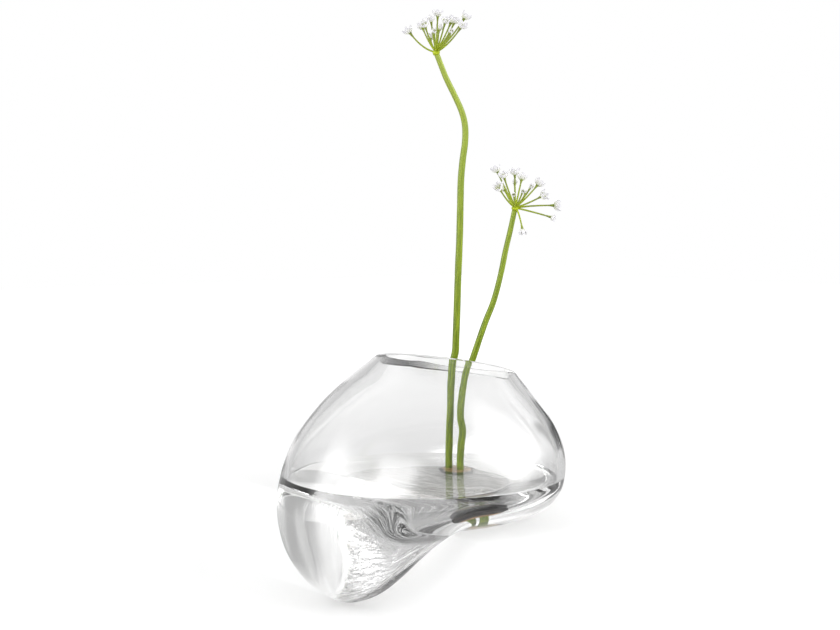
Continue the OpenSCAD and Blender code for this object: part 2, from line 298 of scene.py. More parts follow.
def linear(hex_colour):
    """An sRGB hex colour as a linear one with full alpha."""
    parts = [int(hex_colour[i : i + 2], 16) / 255 for i in (1, 3, 5)]
    return [*(c / 12.92 if c <= 0.04045 else ((c + 0.055) / 1.055) ** 2.4 for c in parts), 1]


def start_material(name):
    """An empty node material and its tree."""
    material = bpy.data.materials.new(name)
    material.use_nodes = True
    material.node_tree.nodes.clear()
    return material, material.node_tree


def add(tree, kind, inputs=None, **settings):
    """A node with its settings. Each input is a value, or the node or output that feeds it."""
    node = tree.nodes.new(kind)
    for name, value in settings.items():
        setattr(node, name, value)
    for name, value in (inputs or {}).items():
        if isinstance(value, bpy.types.Node):
            value = value.outputs[0]
        if isinstance(value, bpy.types.NodeSocket):
            tree.links.new(value, node.inputs[name])
        else:
            node.inputs[name].default_value = value
    return node


def let_shadow_pass(tree, body, tint):
    """Shows a clear body to every ray but a shadow's, which goes through it and takes a tint."""
    passing = add(tree, "ShaderNodeBsdfTransparent", {"Color": tint})
    is_shadow = add(tree, "ShaderNodeLightPath").outputs["Is Shadow Ray"]
    both = add(tree, "ShaderNodeMixShader", {0: is_shadow, 1: body, 2: passing})
    add(tree, "ShaderNodeOutputMaterial", {"Surface": both})


# Soda-lime glass, fire-polished by blowing: clear, bright and smooth, with faint long waves. Where it lay on
# the board it took the fibres, which are rough, and a painted grey shade on them stands in for the light
# they scatter.
blown_glass, tree = start_material("blown_soda_lime_glass")
fibre_gap = 1.3 * mm
fibre_len = 14 * mm
fibre_h = 1.1 * mm
fibre_rough = 0.22
wave_len = 30 * mm
wave_h = 0.25 * mm
place = add(tree, "ShaderNodeTexCoord").outputs["Object"]
grain = add(tree, "ShaderNodeAttribute", attribute_name="grain").outputs["Vector"]
printed = add(tree, "ShaderNodeAttribute", attribute_name="print").outputs["Fac"]
fibre_place = add(tree, "ShaderNodeMapping", {"Scale": (1 / fibre_gap, 1 / fibre_len, 1), "Vector": grain})
fibres = add(
    tree, "ShaderNodeTexNoise",
    {"Scale": 1, "Detail": 4, "Roughness": 0.6, "Distortion": 0.4, "Vector": fibre_place},
)
print_depth = add(tree, "ShaderNodeMath", {0: fibres, 1: printed}, operation="MULTIPLY")
waves = add(tree, "ShaderNodeTexNoise", {"Scale": 1 / wave_len, "Detail": 1, "Vector": place})
wavy = add(tree, "ShaderNodeBump", {"Strength": 1, "Distance": wave_h, "Height": waves})
fibrous = add(
    tree, "ShaderNodeBump", {"Strength": 1, "Distance": fibre_h, "Height": print_depth, "Normal": wavy}
)
print_rough = add(
    tree, "ShaderNodeMapRange",
    {"From Min": 0.3, "From Max": 0.8, "To Min": 0, "To Max": fibre_rough, "Value": print_depth},
)
# Painted shade: the deeper fibres of the print tint the glass grey
print_painted_shade = add(
    tree, "ShaderNodeMapRange", {"From Min": 0.34, "From Max": 0.64, "Value": print_depth},
    interpolation_type="SMOOTHSTEP",
)
glass_with_painted_shade = add(
    tree, "ShaderNodeMix", {0: print_painted_shade, 6: linear("#FAFAFA"), 7: linear("#97928B")}, data_type="RGBA"
).outputs[2]
body = add(
    tree, "ShaderNodeBsdfPrincipled",
    {
        "IOR": 1.52, "Transmission Weight": 1, "Base Color": glass_with_painted_shade, "Normal": fibrous,
        "Roughness": print_rough,
    },
)
let_shadow_pass(tree, body, linear("#CFCFCE"))
vase.data.materials.append(blown_glass)

# Where water wets the inner skin, light bends only by the ratio of glass to water
wet_glass, tree = start_material("wetted_soda_lime_glass")
body = add(
    tree, "ShaderNodeBsdfPrincipled",
    {"Base Color": (1, 1, 1, 1), "Roughness": 0, "IOR": 1.14, "Transmission Weight": 1},
)
let_shadow_pass(tree, body, (1, 1, 1, 1))
vase.data.materials.append(wet_glass)

# The rim is ground flat, then polished by hand, and keeps some of the white satin that grinding leaves. The
# satin share grows from the left to the right, a painted brightening of the rim's right side.
ground_rim, tree = start_material("polished_ground_rim")
satin_from = -12 * mm
satin_to = 30 * mm
satin_least = 0.1
satin_most = 0.85
rim_x = add(
    tree, "ShaderNodeSeparateXYZ", {"Vector": add(tree, "ShaderNodeTexCoord").outputs["Object"]}
).outputs["X"]
# Painted light: more translucent satin towards the right makes that side of the rim brighter
satin_and_painted_brightening = add(
    tree, "ShaderNodeMapRange",
    {
        "From Min": satin_from, "From Max": satin_to, "To Min": satin_least, "To Max": satin_most,
        "Value": rim_x,
    },
)
body = add(
    tree, "ShaderNodeBsdfPrincipled",
    {"Base Color": linear("#F4F4F4"), "Roughness": 0.12, "IOR": 1.52, "Transmission Weight": 1},
)
satin = add(tree, "ShaderNodeBsdfTranslucent", {"Color": linear("#F4F4F4")})
both = add(tree, "ShaderNodeMixShader", {0: satin_and_painted_brightening, 1: body, 2: satin})
add(tree, "ShaderNodeOutputMaterial", {"Surface": both})
vase.data.materials.append(ground_rim)
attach(vase, "vase")
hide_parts("glass_body")


# Water
# Clear tap water that fills the lobe and the lower bowl. It wets the glass, so its mesh
# reaches a hair into the wall, and its surface climbs the wall in a small meniscus.
water_z = 26 * mm
wetting = 0.96
meniscus_h = 0.35 * mm
meniscus_gaps = (0.6 * mm, 0.6 * mm, 0.9 * mm, 1.5 * mm)
meniscus_falls = (0.45, 0.2, 0.07, 0)
wet_line_share = 0.8
open_face_z = 0.05
pool = bmesh.new()
for v in spin_round(pool, glass_profile(wetting, 0), turns, merge_dist):
    v.co = slumped(v.co, wetting)
bmesh.ops.bisect_plane(
    pool, geom=pool.verts[:] + pool.edges[:] + pool.faces[:], dist=merge_dist,
    plane_co=(0, 0, water_z + meniscus_h), plane_no=(0, 0, 1), clear_outer=True,
)
shore = [e for e in pool.edges if e.is_boundary]
top = bmesh.ops.contextual_create(pool, geom=shore)["faces"]
for gap, share in zip(meniscus_gaps, meniscus_falls):
    bmesh.ops.inset_region(pool, faces=top, thickness=gap, use_even_offset=True)
    for v in {v for f in top for v in f.verts}:
        v.co.z = water_z + share * meniscus_h
bmesh.ops.recalc_face_normals(pool, faces=pool.faces)
for f in pool.faces:
    f.smooth = True
for f in top:
    f.smooth = False
for f in pool.faces:
    is_open = f.normal.z > open_face_z and f.calc_center_median().z > water_z - merge_dist
    f.material_index = 0 if is_open else 1
water = make_piece(pool, "water_pool")

# The waterline is cut into the glass's inner skin, which is wet below it
wet_line = water_z + wet_line_share * meniscus_h
glass = bmesh.new()
glass.from_mesh(vase.data)
inner_faces = [f for f in glass.faces if f.material_index == 1]
inner_edges = list({e for f in inner_faces for e in f.edges})
inner_verts = list({v for f in inner_faces for v in f.verts})
bmesh.ops.bisect_plane(
    glass, geom=inner_faces + inner_edges + inner_verts, dist=merge_dist,
    plane_co=(0, 0, wet_line), plane_no=(0, 0, 1),
)
for f in glass.faces:
    if f.material_index == 1 and f.calc_center_median().z > wet_line:
        f.material_index = 0
glass.to_mesh(vase.data)
glass.free()

# Still clear water: the least trace of grey-green, with a mirror-flat surface
still_water, tree = start_material("still_clear_water")
body = add(
    tree, "ShaderNodeBsdfPrincipled",
    {"Base Color": linear("#FCFCFA"), "Roughness": 0, "IOR": 1.333, "Transmission Weight": 1},
)
let_shadow_pass(tree, body, linear("#F5F6F5"))
water.data.materials.append(still_water)

# Where it touches the glass, the water has no face of its own to be seen
clear_contact, tree = start_material("water_against_glass")
contact = add(tree, "ShaderNodeBsdfTransparent", {"Color": (1, 1, 1, 1)})
add(tree, "ShaderNodeOutputMaterial", {"Surface": contact})
water.data.materials.append(clear_contact)
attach(water, "vase")
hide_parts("water")


# Stem holder
# A lump of brown florist's clay, pressed by hand onto the glass floor. Both stems stand
# in holes in it.
holder_w = 25 * mm
holder_l = 36 * mm
holder_h = 8 * mm
holder_place = Vector((24 * mm, 34.5 * mm))
holder_waves = 7
holder_wave_share = 0.05
holder_ring_shares = [
    (0, 0.97), (0.12, 0.99), (0.3, 1), (0.48, 0.96), (0.62, 0.9), (0.75, 0.8), (0.86, 0.68), (0.94, 0.52),
    (1, 0.34), (1, 0.15),
]
holder_turns = 96
holder_merge_share = 0.0001
clay_lump_h = 0.35 * mm
clay_lump_len = 2.4 * mm
hole_sides = 48
stem_off_x = 1.4 * mm
stem_gap = Vector((7.7 * mm, 7 * mm))
stem_clear = 0.3 * mm
tall_d = 5.2 * mm
short_d = 4.9 * mm
bore_floor = 1.5 * mm
foot_gap = 0.3 * mm
foot_z = floor_t + bore_floor + foot_gap
tall_foot = Vector((holder_place.x - stem_off_x - stem_gap.x / 2, holder_place.y + stem_gap.y / 2))
short_foot = Vector((holder_place.x - stem_off_x + stem_gap.x / 2, holder_place.y - stem_gap.y / 2))


def through(points, t):
    """A smooth curve through a list of points, with t from 0 to 1 along it."""
    last = len(points) - 1
    i = min(int(t * last), last - 1)
    f = t * last - i
    a, b, c, d = (Vector(points[min(max(k, 0), last)]) for k in (i - 1, i, i + 1, i + 2))
    return b + f * (c - a) / 2 + f * f * (2 * a - 5 * b + 4 * c - d) / 2 + f**3 * (3 * b - a - 3 * c + d) / 2


lump = bmesh.new()
outline = [(0, 0)] + [(r, z) for z, r in holder_ring_shares] + [(0, 1)]
spin_round(lump, outline, holder_turns, holder_merge_share)
for v in lump.verts:
    swell = 1 + holder_wave_share * math.sin(holder_waves * math.atan2(v.co.y, v.co.x))
    v.co = Vector((
        holder_place.x + v.co.x * swell * holder_w / 2,
        holder_place.y + v.co.y * swell * holder_l / 2,
        floor_t + v.co.z * holder_h,
    ))
bmesh.ops.recalc_face_normals(lump, faces=lump.faces)
bmesh.ops.subdivide_edges(lump, edges=lump.edges, cuts=1, use_grid_fill=True)
lump.normal_update()
for v in lump.verts:
    if v.co.z > floor_t + merge_dist:
        v.co -= v.normal * clay_lump_h * (0.5 + 0.5 * noise.noise(v.co / clay_lump_len))
for f in lump.faces:
    f.smooth = True
clay_lump = make_piece(lump, "clay_lump")

# The two holes, bored with round cutters a little wider than the stems
for foot, d in ((tall_foot, tall_d), (short_foot, short_d)):
    hole_h = 2 * holder_h
    hole = bmesh.new()
    bmesh.ops.create_cone(
        hole, cap_ends=True, segments=hole_sides, radius1=d / 2 + stem_clear, radius2=d / 2 + stem_clear,
        depth=hole_h, matrix=Matrix.Translation((foot.x, foot.y, floor_t + bore_floor + hole_h / 2)),
    )
    cutter = make_piece(hole, "cutter")
    bore = clay_lump.modifiers.new("bore", "BOOLEAN")
    bore.operation = "DIFFERENCE"
    bore.solver = "EXACT"
    bore.object = cutter
    bpy.context.view_layer.update()
    bored = bpy.data.meshes.new_from_object(clay_lump.evaluated_get(bpy.context.evaluated_depsgraph_get()))
    clay_lump.modifiers.clear()
    clay_lump.data = bored
    bpy.data.objects.remove(cutter)

# Oil-based modelling clay, pressed by hand: dull brown, mottled and a little pitted on its top. Its sides
# are painted near-black with faint streaks, as painted shade.
pressed_clay, tree = start_material("pressed_florist_clay")
painted_shade_to_share = 0.62
clay_colour_from_share = 0.84
clay_layer_gap = 1.1 * mm
clay_layer_len = 16 * mm
clay_mottle_gap = 4 * mm
clay_pit_gap = 1.4 * mm
clay_pit_h = 0.3 * mm
place = add(tree, "ShaderNodeTexCoord").outputs["Object"]
mottle = add(
    tree, "ShaderNodeTexNoise",
    {"Scale": 1 / clay_mottle_gap, "Detail": 5, "Roughness": 0.65, "Vector": place},
)
pits = add(tree, "ShaderNodeTexVoronoi", {"Scale": 1 / clay_pit_gap, "Vector": place})
clay_colour = add(tree, "ShaderNodeValToRGB", {"Fac": mottle})
clay_height = add(tree, "ShaderNodeSeparateXYZ", {"Vector": place}).outputs["Z"]
# Painted shade: the sides below this height are near-black, and only the top keeps the clay's brown
above_painted_shade = add(
    tree, "ShaderNodeMapRange",
    {
        "From Min": floor_t + painted_shade_to_share * holder_h, "From Max": floor_t + clay_colour_from_share * holder_h,
        "Value": clay_height,
    },
    interpolation_type="SMOOTHSTEP",
)
layer_place = add(
    tree, "ShaderNodeMapping",
    {"Scale": (1 / clay_layer_len, 1 / clay_layer_len, 1 / clay_layer_gap), "Vector": place},
)
layers = add(
    tree, "ShaderNodeTexNoise", {"Scale": 1, "Detail": 3, "Distortion": 1.2, "Vector": layer_place}
)
painted_side_shade = add(tree, "ShaderNodeValToRGB", {"Fac": layers})
for ramp, stops in (
    (clay_colour.color_ramp, ((0.35, "#7A5330"), (0.68, "#D2B083"))),
    (painted_side_shade.color_ramp, ((0.4, "#0E0D0C"), (0.66, "#453E38"))),
):
    for stop, (position, colour) in zip(ramp.elements, stops):
        stop.position = position
        stop.color = linear(colour)
clay_with_painted_shade = add(
    tree, "ShaderNodeMix", {0: above_painted_shade, 6: painted_side_shade, 7: clay_colour}, data_type="RGBA"
).outputs[2]
pitted = add(tree, "ShaderNodeBump", {"Strength": 0.6, "Distance": clay_pit_h, "Height": pits})
body = add(tree, "ShaderNodeBsdfPrincipled", {"Roughness": 0.75, "Base Color": clay_with_painted_shade, "Normal": pitted})
add(tree, "ShaderNodeOutputMaterial", {"Surface": body})
clay_lump.data.materials.clear()
clay_lump.data.materials.append(pressed_clay)
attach(clay_lump, "vase")
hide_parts("stem_holder")


# Flower stems
# Two fresh leafless stems, firm and waxy with fine ribs, cut square at the foot. The tall
# one bends twice near its top, and the short one leans to the right.
straight_over = 6 * mm
straight_z = water_z + straight_over
tall_h = 294 * mm
tall_sway = 10.5 * mm
short_h = 190 * mm
short_lean = 35.5 * mm
stem_top_share = 0.72
stem_thin_power = 1.5
stem_steps = 150
stem_sides = 28
rib_count = 7
rib_share = 0.035
uneven_share = 0.025
uneven_len = 9 * mm
foot_steps = 10
tall_course_shares = [
    (0, 0, 0), (0.06, 0.04, 0.01), (0.12, 0.09, 0.02), (0.18, 0.12, 0.03), (0.225, 0.17, 0.04),
    (0.262, 0.38, 0.035), (0.3, 0.425, 0.03), (0.36, 0.48, 0.01), (0.45, 0.545, -0.045),
    (0.54, 0.635, -0.085), (0.62, 0.68, -0.105), (0.69, 0.72, -0.105), (0.74, 0.83, -0.075),
    (0.785, 0.98, -0.03), (0.825, 0.98, 0), (0.86, 0.77, 0.018), (0.9, 0.31, 0.02),
    (0.94, -0.2, 0.015), (0.97, -0.52, 0), (1, -0.82, -0.015),
]
short_course_shares = [
    (0, 0, 0), (0.055, 0.012, 0.005), (0.11, 0.04, 0.01), (0.165, 0.002, 0.013), (0.22, 0.012, 0.02),
    (0.28, 0.042, 0.026), (0.335, 0.095, 0.03), (0.39, 0.205, 0.03), (0.44, 0.285, 0.026),
    (0.5, 0.378, 0.018), (0.56, 0.478, 0.007), (0.62, 0.59, -0.008), (0.68, 0.674, -0.025),
    (0.76, 0.762, -0.04), (0.84, 0.835, -0.052), (0.92, 0.921, -0.059), (1, 1, -0.059),
]


def stem_course(foot, height, swing, shares):
    """Centre points of a stem, from its foot in the holder to its top."""
    rise = foot_z + height - straight_z
    points = [
        Vector((foot.x, foot.y, foot_z + (straight_z - foot_z) * i / foot_steps)) for i in range(foot_steps)
    ]
    for i in range(stem_steps + 1):
        c = through(shares, i / stem_steps)
        points.append(Vector((foot.x + swing * c.y, foot.y + swing * c.z, straight_z + rise * c.x)))
    return points


def grow(form, path, radii, sides, ribs=0):
    """A closed tube, extruded ring by ring along a path. Its layer "straight" keeps each point's
    place round and along the tube, as if the tube were straight."""
    layer = form.verts.layers.float_vector.get("straight") or form.verts.layers.float_vector.new("straight")
    count = len(path)
    heading = (path[1] - path[0]).normalized()
    turn = heading.to_track_quat("Z", "Y")
    here = Matrix.LocRotScale(path[0], turn, None)
    ring = bmesh.ops.create_circle(form, segments=sides, radius=1, matrix=Matrix.Identity(4))["verts"]
    unit = {v: v.co.copy() for v in ring}
    edges = [e for e in form.edges if e.verts[0] in unit and e.verts[1] in unit]
    along = 0
    for i in range(count):
        if i:
            new = (path[min(i + 1, count - 1)] - path[i - 1]).normalized()
            turn = heading.rotation_difference(new) @ turn
            heading = new
            here = Matrix.LocRotScale(path[i], turn, None)
            along += (path[i] - path[i - 1]).length
            grown = bmesh.ops.extrude_edge_only(form, edges=edges)["geom"]
            edges = [g for g in grown if isinstance(g, bmesh.types.BMEdge)]
            edges = [e for e in edges if all(v not in unit for v in e.verts)]
            fresh = [g for g in grown if isinstance(g, bmesh.types.BMVert)]
            unit = {v: Vector((v[layer].x, v[layer].y, 0)) for v in fresh}
        for v, local in unit.items():
            angle = math.atan2(local.y, local.x)
            rib = 1 + (rib_share * math.cos(ribs * angle) if ribs else 0)
            spread = radii[i] * rib
            v[layer] = (math.cos(angle), math.sin(angle), along)
            v.co = here @ Vector((spread * math.cos(angle), spread * math.sin(angle), 0))
        if i in (0, count - 1):
            bmesh.ops.contextual_create(form, geom=edges)


def stem_radii(d, path):
    """Radius along a stem: it thins towards the top and is never quite even."""
    radii = []
    for i, p in enumerate(path):
        t = max(i - foot_steps, 0) / stem_steps
        uneven = 1 + uneven_share * noise.noise(Vector((d / mm, 0, p.z / uneven_len)))
        radii.append(d / 2 * (1 - (1 - stem_top_share) * t**stem_thin_power) * uneven / (1 + rib_share))
    return radii


tall_path = stem_course(tall_foot, tall_h, tall_sway, tall_course_shares)
short_path = stem_course(short_foot, short_h, short_lean, short_course_shares)

# A living stem with a wax bloom: olive green with long pale streaks, fresher and yellower
# at its top, and softly glossy
green_stem, tree = start_material("fresh_waxy_stem")
streak_w_share = 0.55
streak_len = 30 * mm
streak_h = 0.12 * mm
young_from = 120 * mm
young_to = 310 * mm
young_share = 0.45
straight = add(tree, "ShaderNodeAttribute", attribute_name="straight").outputs["Vector"]
streak_place = add(
    tree, "ShaderNodeMapping",
    {"Scale": (1 / streak_w_share, 1 / streak_w_share, 1 / streak_len), "Vector": straight},
)
streaks = add(
    tree, "ShaderNodeTexNoise", {"Scale": 2.2, "Detail": 2, "Roughness": 0.5, "Vector": streak_place}
)
stem_colour = add(tree, "ShaderNodeValToRGB", {"Fac": streaks})
for stop, position, colour in zip(stem_colour.color_ramp.elements, (0.3, 0.72), ("#526A06", "#92A51E")):
    stop.position = position
    stop.color = linear(colour)
height = add(
    tree, "ShaderNodeSeparateXYZ", {"Vector": add(tree, "ShaderNodeTexCoord").outputs["Object"]}
).outputs["Z"]
young = add(
    tree, "ShaderNodeMapRange",
    {"From Min": young_from, "From Max": young_to, "To Min": 0, "To Max": young_share, "Value": height},
)
stem_blend = add(
    tree, "ShaderNodeMix", {0: young, 6: stem_colour, 7: linear("#B4C060")}, data_type="RGBA"
).outputs[2]
ribbed = add(tree, "ShaderNodeBump", {"Strength": 0.5, "Distance": streak_h, "Height": streaks})
body = add(
    tree, "ShaderNodeBsdfPrincipled",
    {"Roughness": 0.42, "Specular IOR Level": 0.45, "Base Color": stem_blend, "Normal": ribbed},
)
add(tree, "ShaderNodeOutputMaterial", {"Surface": body})

for name, flower, d, path in (
    ("tall_stem", "tall_flower", tall_d, tall_path),
    ("short_stem", "short_flower", short_d, short_path),
):
    shoot = bmesh.new()
    grow(shoot, path, stem_radii(d, path), stem_sides, rib_count)
    bmesh.ops.recalc_face_normals(shoot, faces=shoot.faces)
    for f in shoot.faces:
        f.smooth = len(f.verts) == 4
    stem = make_piece(shoot, name + "_ribbed")
    stem.data.materials.append(green_stem)
    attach(stem, flower)
    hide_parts(name)


# Flower stalks
# Each head is a fan of thin stalks that spring from one swollen hub and end in a small
# green knob under each flower.
ray_len = 26 * mm
ray_d = 1.1 * mm
ray_steps = 14
ray_sides = 10
ray_foot_share = 1.15
ray_thin_share = 0.25
speck_gap = 0.8 * mm
hub_sides = 32
knob_share = 1.9
neck_share = 0.9
knob_rise_base = 0.6
knob_rise_more = 0.35
hub_wide_share = 1.35
hub_tall_share = 1.5
hub_outline_shares = [
    (0, 0), (0.6, 0), (0.85, 0.08), (0.97, 0.22), (1, 0.42), (0.93, 0.6), (0.78, 0.78), (0.5, 0.93),
    (0.2, 0.99), (0, 1),
]
tall_ray_shares = [
    (-0.67, 0.1, 0.5, -0.2, 1), (-0.28, -0.5, 0.58, -0.12, 0.95), (-0.34, 0.42, 0.66, -0.12, 0.9),
    (-0.13, -0.3, 0.74, -0.08, 0.9), (-0.14, 0.66, 0.42, -0.12, 0.8), (0.04, -0.1, 0.9, 0, 1),
    (-0.05, -0.62, 0.42, -0.12, 0.6), (0.08, 0.48, 0.62, -0.1, 0.8), (0.22, -0.45, 0.68, -0.08, 0.85),
    (0.38, 0.3, 0.78, -0.08, 1), (0.46, -0.16, 0.72, -0.12, 0.95), (0.36, 0.6, 0.5, -0.12, 0.7),
    (0.72, 0.06, 0.86, -0.14, 1), (0.62, -0.46, 0.56, -0.16, 0.95), (0.36, -0.62, 0.42, -0.12, 0.6),
]
short_ray_shares = [
    (-0.45, 0.1, 0.92, -0.06, 1), (-0.3, -0.28, 0.76, -0.06, 0.9), (-0.42, -0.5, 0.46, -0.1, 1),
    (-0.24, 0.5, 0.46, -0.08, 0.8), (-0.02, -0.12, 0.84, 0, 1), (0.02, 0.5, 0.62, -0.06, 0.6),
    (0.18, 0.3, 0.72, -0.02, 0.95), (0.35, -0.48, 0.5, -0.06, 0.6), (0.14, -0.6, 0.38, -0.06, 0.5),
    (-0.08, -0.66, 0.3, -0.04, 0.5), (0.58, 0.16, 0.58, -0.06, 1), (0.64, -0.28, 0.28, -0.04, 1),
    (1, 0.1, 0.06, 0.04, 1), (0.9, -0.16, -0.24, 0.02, 0.7), (0.17, -0.2, -0.54, 0.22, 0.85),
    (0.3, 0.62, 0.36, -0.06, 0.6),
]


def ray_course(start, shares):
    """Centre points of one flower stalk."""
    tip = ray_len * Vector(shares[:3])
    mid = tip / 2 + Vector((0, 0, ray_len * shares[3]))
    return [
        start + 2 * (1 - t) * t * mid + t * t * tip for t in (i / ray_steps for i in range(ray_steps + 1))
    ]


def ray_radii(size):
    """A stalk keeps one thickness and swells into a knob at its last steps."""
    knob = 1 + (knob_share - 1) * size
    radii = [ray_d / 2 * (ray_foot_share - ray_thin_share * i / ray_steps) for i in range(ray_steps + 1)]
    radii[-3:] = [ray_d / 2 * share for share in (neck_share, knob_rise_base + knob_rise_more * knob, knob)]
    return radii


# Young green stalk tissue: bright yellow-green at the hub, olive further out and darkest
# at the knob
stalk_green, tree = start_material("young_flower_stalk")
straight = add(tree, "ShaderNodeAttribute", attribute_name="straight").outputs["Vector"]
along = add(tree, "ShaderNodeSeparateXYZ", {"Vector": straight}).outputs["Z"]
outward = add(tree, "ShaderNodeMapRange", {"From Min": 0, "From Max": ray_len, "Value": along})
stalk_colour = add(tree, "ShaderNodeValToRGB", {"Fac": outward})
ramp = stalk_colour.color_ramp
ramp.elements[0].color = linear("#A9B80E")
ramp.elements[1].color = linear("#71801F")
ramp.elements.new(0.3).color = linear("#98A824")
ramp.elements.new(0.75).color = linear("#828F35")
speck = add(
    tree, "ShaderNodeTexNoise",
    {"Scale": 1 / speck_gap, "Detail": 3, "Vector": add(tree, "ShaderNodeTexCoord").outputs["Object"]},
)
speck_light = add(
    tree, "ShaderNodeMapRange",
    {"From Min": 0.3, "From Max": 0.7, "To Min": 0.92, "To Max": 1.08, "Value": speck},
)
speckled = add(
    tree, "ShaderNodeMix", {0: 1, 6: stalk_colour, 7: speck_light}, data_type="RGBA", blend_type="MULTIPLY"
).outputs[2]
body = add(tree, "ShaderNodeBsdfPrincipled", {"Roughness": 0.5, "Base Color": speckled})
add(tree, "ShaderNodeOutputMaterial", {"Surface": body})

heads = {}
for name, flower, d, path, table in (
    ("tall_rays", "tall_flower", tall_d, tall_path, tall_ray_shares),
    ("short_rays", "short_flower", short_d, short_path, short_ray_shares),
):
    top = path[-1]
    up = (path[-1] - path[-2]).normalized()
    hub_r = hub_wide_share * stem_top_share * d / 2
    hub_h = hub_tall_share * hub_r
    start = top + hub_h / 2 * up
    heads[flower] = start
    fan = bmesh.new()
    fan.verts.layers.float_vector.new("straight")
    spin_round(fan, [(hub_r * r, hub_h * z) for r, z in hub_outline_shares], hub_sides, merge_dist)
    bmesh.ops.transform(
        fan, matrix=Matrix.LocRotScale(top, up.to_track_quat("Z", "Y"), None), verts=fan.verts
    )
    for shares in table:
        grow(fan, ray_course(start, shares), ray_radii(shares[4]), ray_sides)
    bmesh.ops.recalc_face_normals(fan, faces=fan.faces)
    for f in fan.faces:
        f.smooth = len(f.verts) < 5
    piece = make_piece(fan, name + "_fan")
    piece.data.materials.append(stalk_green)
    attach(piece, flower)
    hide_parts(name)


# Flowers
# Each open flower is a small cup of six overlapping white petals round six stamens and a
# green ovary. The smaller ones are still half closed.
floret_w = 9 * mm
floret_h = 4.2 * mm
petal_count = 6
petal_t = 0.16 * mm
petal_cells = (6, 8)
petal_half_turn = math.radians(36)
petal_layer_share = 0.14
petal_belly_share = 0.07
petal_foot_share = 0.7
petal_foot_round = 0.16
petal_tip_round = 0.03
petal_curl_share = 0.14
petal_dish_share = 0.12
shut_reach_share = 0.55
more_reach_share = 0.37
shut_tall_share = 1.25
less_tall_share = 0.12
open_size = 0.45
petal_sway = 0.15
stamen_d = 0.26 * mm
stamen_foot_share = 0.6
anther_d = 0.7 * mm
stamen_steps = 4
stamen_sides = 6
stamen_spread_share = 0.2
stamen_tall_share = 0.6
ovary_r = 0.85 * mm
petal_crease = math.radians(50)


def petal(form, size, opening, base_r, number, place):
    """One petal: a grid bent into its part of the cup, rounded at the tip and curved outwards."""
    layer = form.verts.layers.float_vector["petal"]
    cells_w, cells_h = petal_cells
    grid = bmesh.ops.create_grid(form, x_segments=cells_w, y_segments=cells_h, size=0.5)["verts"]
    outer = number % 2
    reach = size * floret_w / 2 * (shut_reach_share + more_reach_share * opening)
    reach *= 1 - petal_layer_share * (1 - outer)
    tall = size * floret_h * (shut_tall_share - less_tall_share * opening) * (1 - petal_layer_share * outer)
    foot = base_r * petal_foot_share
    width_span = 1 - petal_foot_round - petal_tip_round
    for v in grid:
        across, along = 2 * v.co.x, v.co.y + 0.5
        turn = petal_half_turn * across * math.sin(math.pi * (petal_foot_round + width_span * along)) ** 0.6
        turn += math.tau * number / petal_count
        bowl = math.pi / 2 * along
        curl = (1 - petal_curl_share) * math.sin(bowl) ** 0.9 + petal_curl_share * along**5
        out = foot + (reach - foot) * curl
        out += petal_belly_share * reach * (1 - across * across) * math.sin(math.pi * along)
        rise = tall * ((1 - math.cos(bowl)) ** 0.8 - petal_dish_share * across * across * along**3)
        v[layer] = (across, along, 1)
        v.co = place @ Vector((out * math.cos(turn), out * math.sin(turn), rise))
    bmesh.ops.solidify(form, geom=list({f for v in grid for f in v.link_faces}), thickness=petal_t)


def floret(form, size, base_r, place, seed):
    """Six petals, six stamens and an ovary on a stalk's knob."""
    opening = clip((size - open_size) / open_size)
    for k in range(petal_count):
        sway = petal_sway * noise.noise(Vector((seed * 3.1, k * 1.7, 0.5)))
        petal(form, size * (1 + sway / 2), clip(opening + sway), base_r, k, place)
        turn = math.tau * (k + 0.5) / petal_count
        out = Vector((math.cos(turn), math.sin(turn), 0))
        rise = Vector((0, 0, size * floret_h * stamen_tall_share))
        foot = place @ (base_r * stamen_foot_share * out)
        tip = place @ (size * floret_w * stamen_spread_share * out + rise)
        path = [foot.lerp(tip, i / stamen_steps) for i in range(stamen_steps + 1)]
        grow(form, path, [stamen_d / 2] * stamen_steps + [anther_d / 2], stamen_sides)
    swell = ovary_r * size
    bmesh.ops.create_icosphere(
        form, subdivisions=2, radius=swell, matrix=place @ Matrix.Translation((0, 0, swell))
    )


# Thin white petal tissue: matt, with fine veins along it, green at its base, and a faint lilac-grey towards
# its tip that is painted shade.
white_petal, tree = start_material("white_petal_tissue")
vein_h = 0.03 * mm
lit_through_share = 0.3
petal_place = add(tree, "ShaderNodeAttribute", attribute_name="petal").outputs["Vector"]
parts = add(tree, "ShaderNodeSeparateXYZ", {"Vector": petal_place})
vein_place = add(tree, "ShaderNodeMapping", {"Scale": (4.5, 0.7, 1), "Vector": petal_place})
veins = add(tree, "ShaderNodeTexNoise", {"Scale": 1.6, "Detail": 3, "Vector": vein_place})
petal_colour = add(tree, "ShaderNodeValToRGB", {"Fac": parts.outputs["Y"]})
ramp = petal_colour.color_ramp
ramp.elements[0].color = linear("#CDD8A0")
